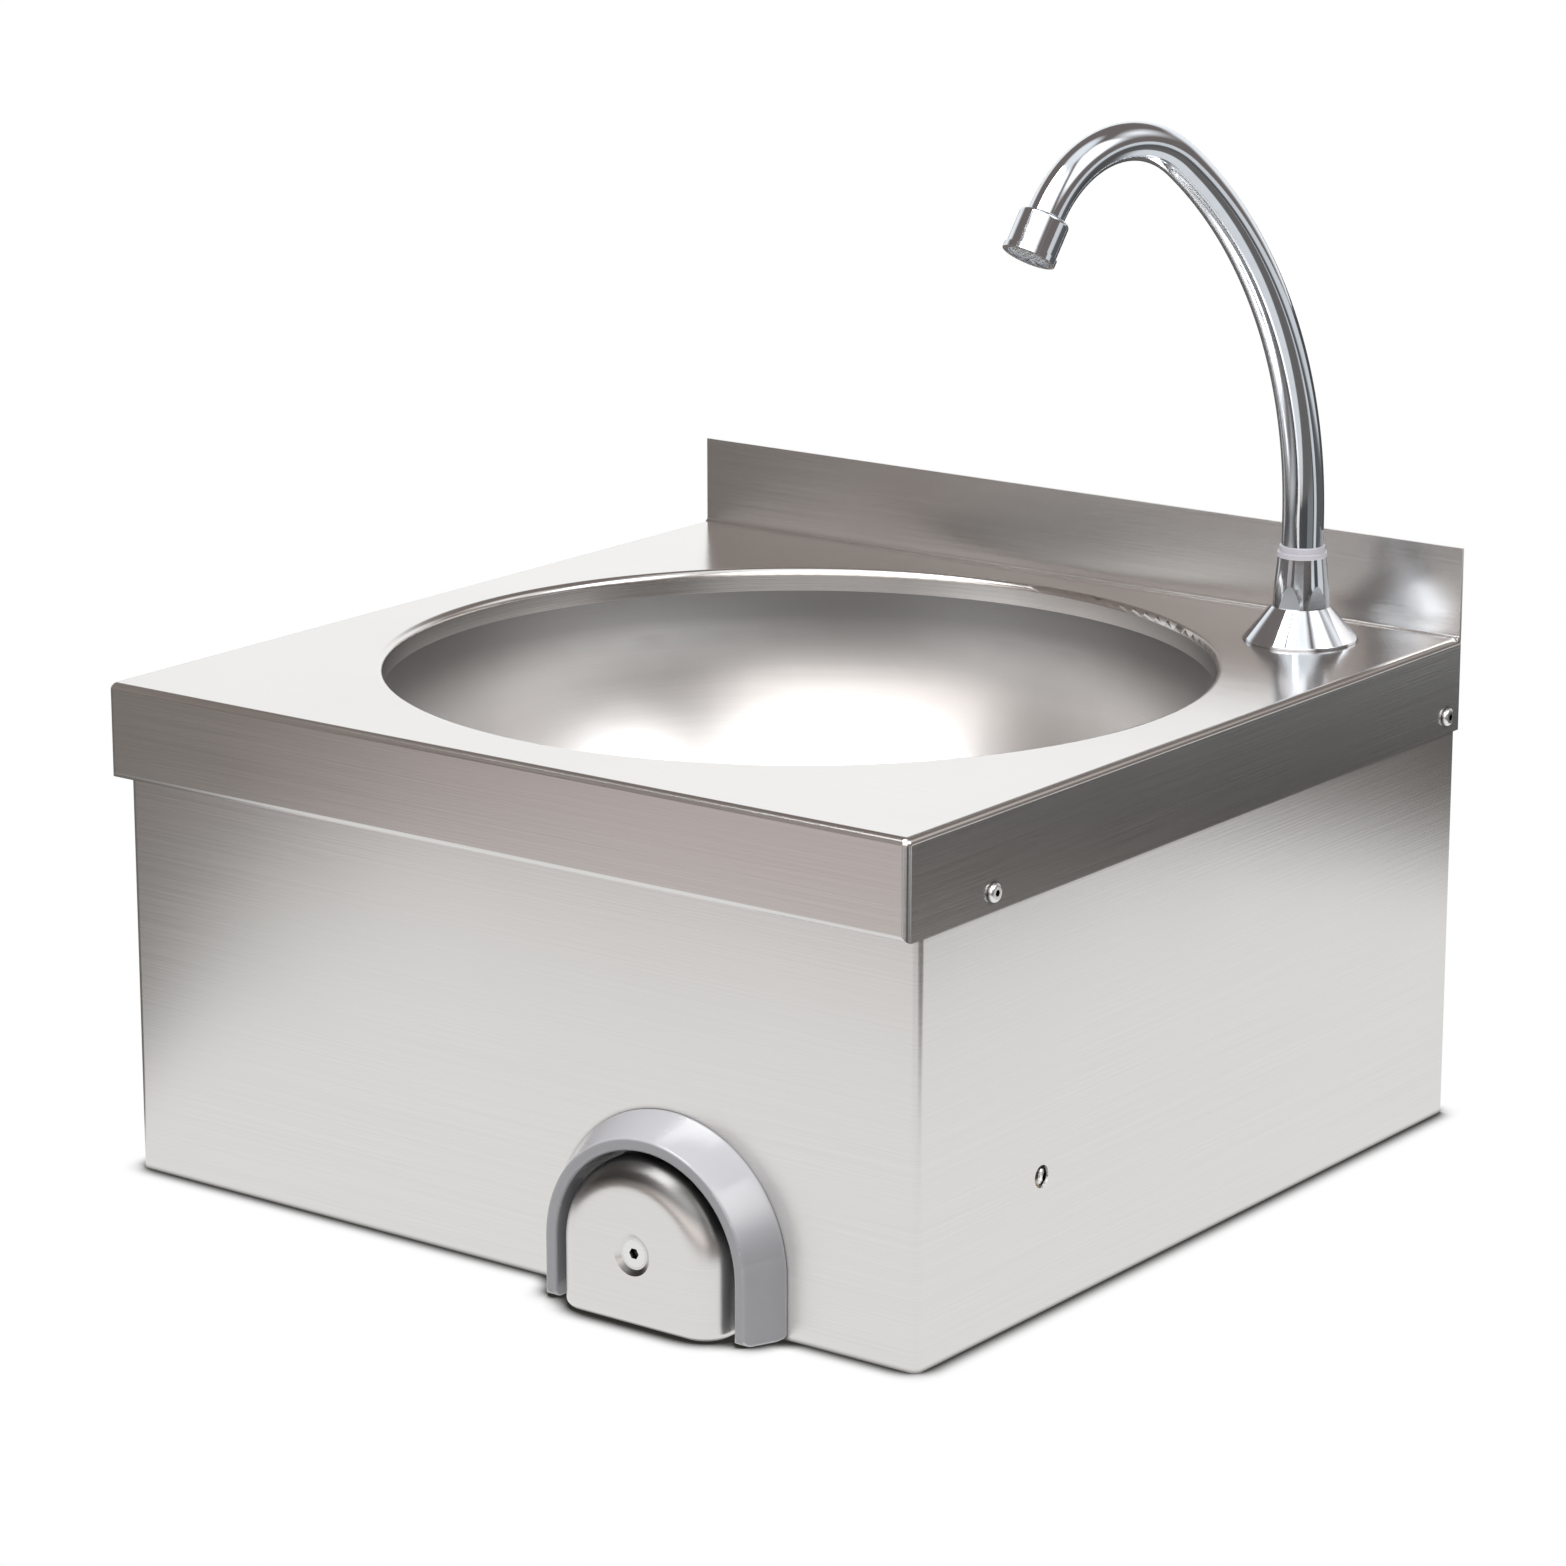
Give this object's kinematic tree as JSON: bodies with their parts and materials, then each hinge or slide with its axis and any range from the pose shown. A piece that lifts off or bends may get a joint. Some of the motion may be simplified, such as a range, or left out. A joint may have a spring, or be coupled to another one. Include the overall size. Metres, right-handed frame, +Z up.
{
  "type": "hand wash sink",
  "caption": "Square wall-hung hand wash sink with a round bowl, a swan-neck spout and a knee-operated push valve in the front of its casing.",
  "frame": {"origin": "middle of the overall footprint (knee pad front to wall face), at the underside of the casing", "axes": "+X to the right as one faces the basin, +Y towards the wall, +Z up"},
  "size_m": [0.4044, 0.415, 0.4376],
  "materials": {
    "basin_steel": "satin stainless sheet, fine brushed grain",
    "casing_steel": "satin stainless sheet, horizontal grain",
    "pad_steel": "finely brushed stainless pressing",
    "bracket_steel": "plain stainless",
    "screw_steel": "bright stainless",
    "strainer_steel": "polished stainless",
    "spring_steel": "bright spring wire",
    "pipe_steel": "smooth stainless tube",
    "hose_braid": "stainless braid",
    "tap_chrome": "polished chrome plate",
    "swivel_plastic": "pale translucent plastic",
    "collar_plastic": "smooth grey moulding",
    "brass": "machined brass",
    "black_rubber": "matt black rubber",
    "waste_plastic": "light grey moulding",
    "aerator_plastic": "grey moulded honeycomb"
  },
  "bodies": {
    "basin": {"top_sheet": "basin_steel", "bowl": "basin_steel", "casing": "casing_steel", "rear_rail": "bracket_steel", "valve_bracket": "bracket_steel", "mixer_bracket": "bracket_steel", "casing_nuts": "bracket_steel", "tap_washer": "bracket_steel", "skirt_screws": "screw_steel", "strainer_screw": "screw_steel", "strainer": "strainer_steel", "inlet_filters": "strainer_steel", "return_spring": "spring_steel", "feed_pipe": "pipe_steel", "hose_ferrules": "pipe_steel", "supply_hose": "hose_braid", "tap_body": "tap_chrome", "swivel_nut": "tap_chrome", "swivel_ring": "swivel_plastic", "knee_collar": "collar_plastic", "valve_body": "brass", "valve_locknut": "brass", "plunger_gland": "brass", "valve_cap": "brass", "mixer_body": "brass", "mixer_locknut": "brass", "mixer_gland": "brass", "hot_inlet_nipple": "brass", "cold_inlet_nipple": "brass", "feed_nuts": "brass", "hose_nuts": "brass", "tap_backnut": "brass", "plunger_seal": "black_rubber", "spindle_seal": "black_rubber", "tap_base_seal": "black_rubber", "tap_under_seal": "black_rubber", "strainer_gasket": "black_rubber", "waste_seal": "black_rubber", "waste_body": "waste_plastic", "check_valves": "waste_plastic"},
    "pad": {"knee_pad": "pad_steel", "pad_hub": "bracket_steel", "pad_screw": "screw_steel", "plunger": "screw_steel", "poppet": "brass", "poppet_washer": "black_rubber"},
    "spout": {"spout_tube": "tap_chrome", "spout_o_rings": "black_rubber", "spout_retainer": "screw_steel", "aerator_sleeve": "tap_chrome", "aerator_seal": "black_rubber", "aerator_insert": "aerator_plastic"},
    "spindle": {"mixing_spindle": "screw_steel"}
  },
  "joints": [
    {"name": "pad_push", "type": "slide", "parent": "basin", "child": "pad", "axis": [0, 1, 0], "range_m": [0, 0.012], "stiffness_N_per_m": 350, "springref_m": -0.012, "deforming": ["return_spring"]},
    {"name": "spout_swivel", "type": "hinge", "parent": "basin", "child": "spout", "pos_m": [0.147, 0.1647, 0.23], "axis": [0, 0, 1], "range_deg": [-79, 100]},
    {"name": "spindle_turn", "type": "hinge", "parent": "basin", "child": "spindle", "pos_m": [0.185, -0.0958, 0.0538], "axis": [1, 0, 0], "range_deg": [-90, 90]}
  ]
}
